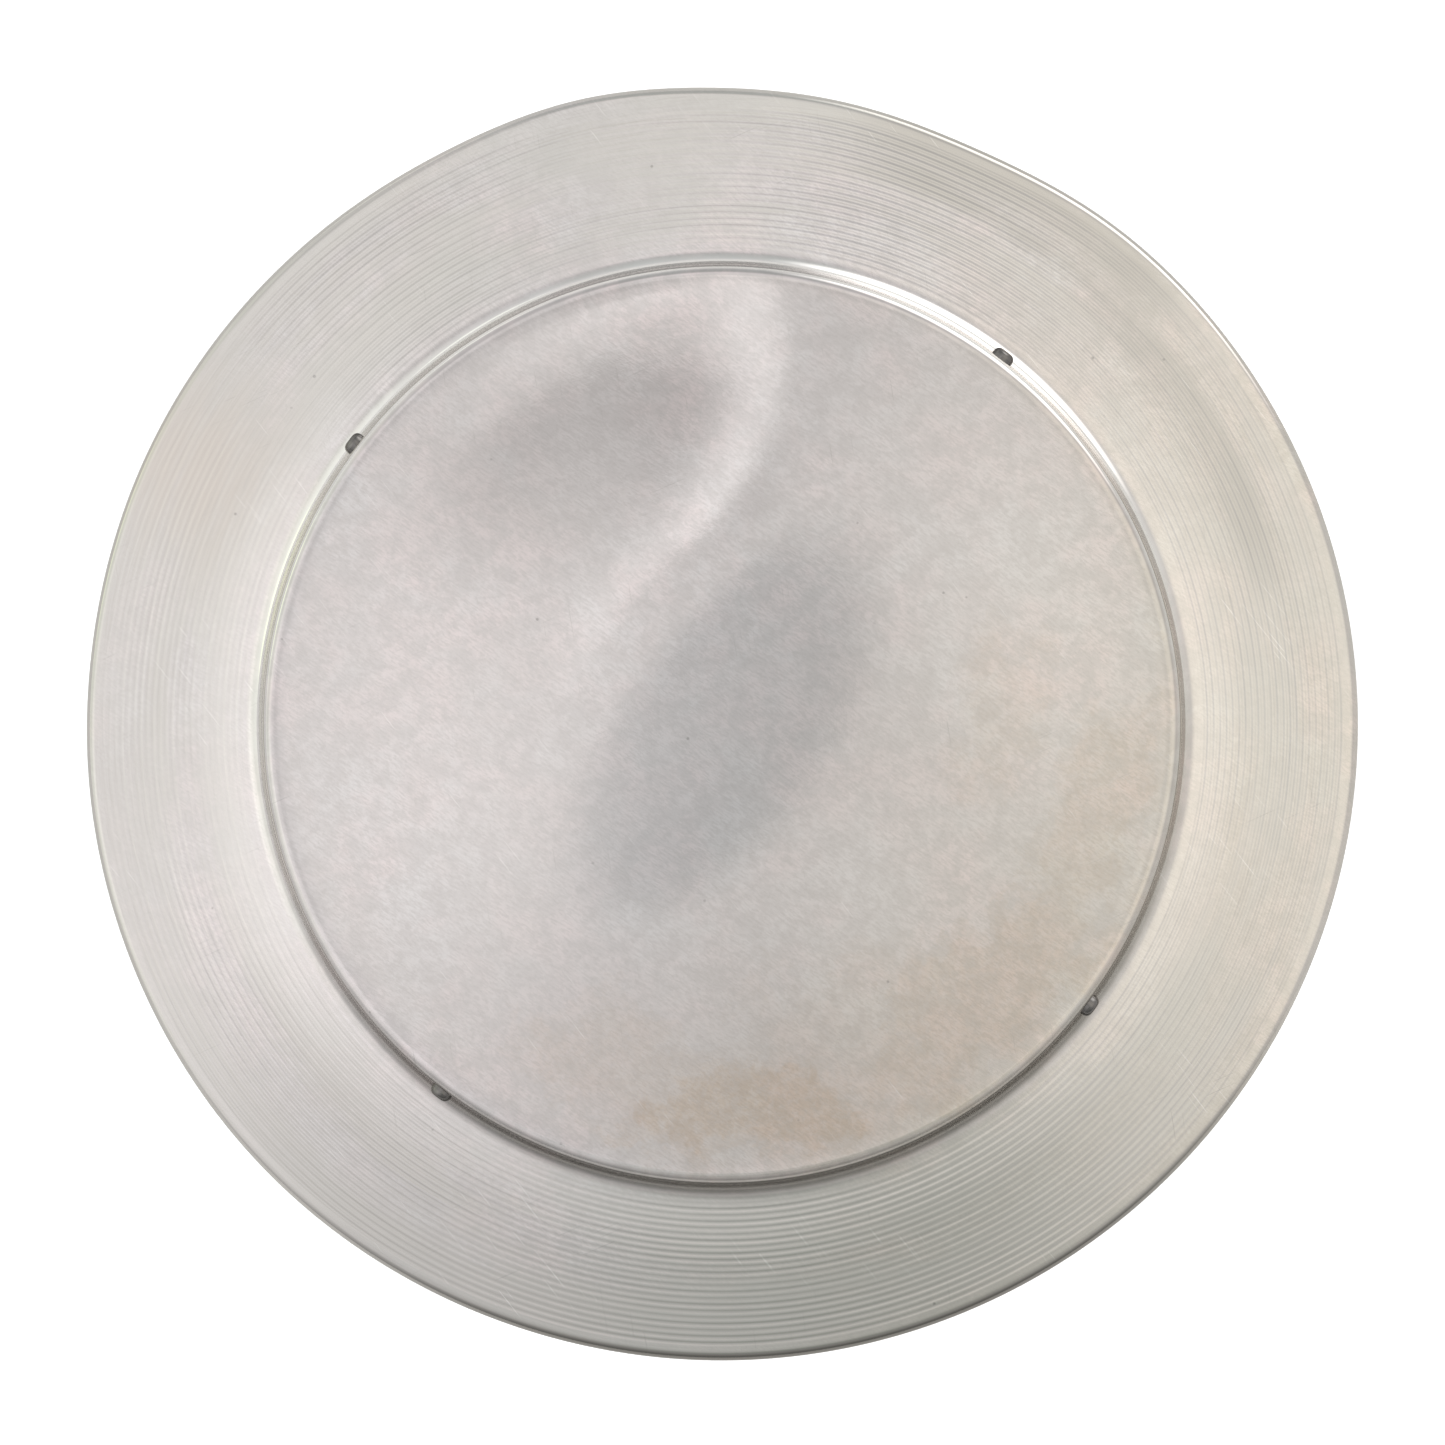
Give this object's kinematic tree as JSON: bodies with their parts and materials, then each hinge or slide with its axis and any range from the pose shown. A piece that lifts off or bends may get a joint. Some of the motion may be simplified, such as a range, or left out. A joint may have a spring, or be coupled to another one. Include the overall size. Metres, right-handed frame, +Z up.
{
  "type": "banding wheel",
  "caption": "Round spun-metal turntable head with a raised centre table and a ribbed sloping skirt, turning freely on ball bearings in a cast pedestal with rubber feet.",
  "frame": {"origin": "on the spindle's axis, at the surface that the rubber feet stand on", "axes": "+Z up along the spindle's axis; +X and +Y level, with the first head screw 52.6 degrees counter-clockwise from +X"},
  "size_m": [0.3, 0.3, 0.125],
  "materials": {
    "spun_aluminium": "mill finish, fine brushed",
    "cast_aluminium": "as cast, machined on the faces",
    "turned_aluminium": "turned",
    "screw_steel": "plated, dulled",
    "set_screw_steel": "black oxide",
    "shaft_steel": "ground",
    "bearing_steel": "ground and polished",
    "ball_steel": "polished",
    "cage_steel": "pressed sheet",
    "shield_steel": "bright pressed sheet",
    "spring_steel": "phosphated",
    "painted_iron": "hammered grey-green enamel",
    "foot_rubber": "moulded"
  },
  "bodies": {
    "base": {"pedestal": "painted_iron", "upper_bearing_outer_race": "bearing_steel", "upper_bearing_shields": "shield_steel", "lower_bearing_outer_race": "bearing_steel", "lower_bearing_shields": "shield_steel", "wave_washer": "spring_steel", "housing_circlip": "spring_steel", "bearing_cap": "shield_steel", "rubber_feet": "foot_rubber", "foot_screws": "screw_steel"},
    "wheel": {"head_shell": "spun_aluminium", "head_screws": "screw_steel", "head_spider": "cast_aluminium", "hub_set_screws": "set_screw_steel", "spindle": "shaft_steel", "dust_slinger": "turned_aluminium", "spindle_circlip": "spring_steel", "upper_bearing_inner_race": "bearing_steel", "lower_bearing_inner_race": "bearing_steel"},
    "upper_ball_set": {"upper_bearing_cage": "cage_steel", "upper_bearing_balls": "ball_steel"},
    "lower_ball_set": {"lower_bearing_cage": "cage_steel", "lower_bearing_balls": "ball_steel"}
  },
  "joints": [
    {"name": "wheel_spin", "type": "hinge", "parent": "base", "child": "wheel", "pos_m": [0, 0, 0.079], "axis": [0, 0, 1], "continuous": true},
    {"name": "upper_balls_orbit", "type": "hinge", "parent": "base", "child": "upper_ball_set", "pos_m": [0, 0, 0.079], "axis": [0, 0, 1], "continuous": true},
    {"name": "lower_balls_orbit", "type": "hinge", "parent": "base", "child": "lower_ball_set", "pos_m": [0, 0, 0.027], "axis": [0, 0, 1], "continuous": true}
  ],
  "couplings": [
    {"joint": "upper_balls_orbit", "follows": "wheel_spin", "ratio": 0.39758},
    {"joint": "lower_balls_orbit", "follows": "wheel_spin", "ratio": 0.4084}
  ]
}
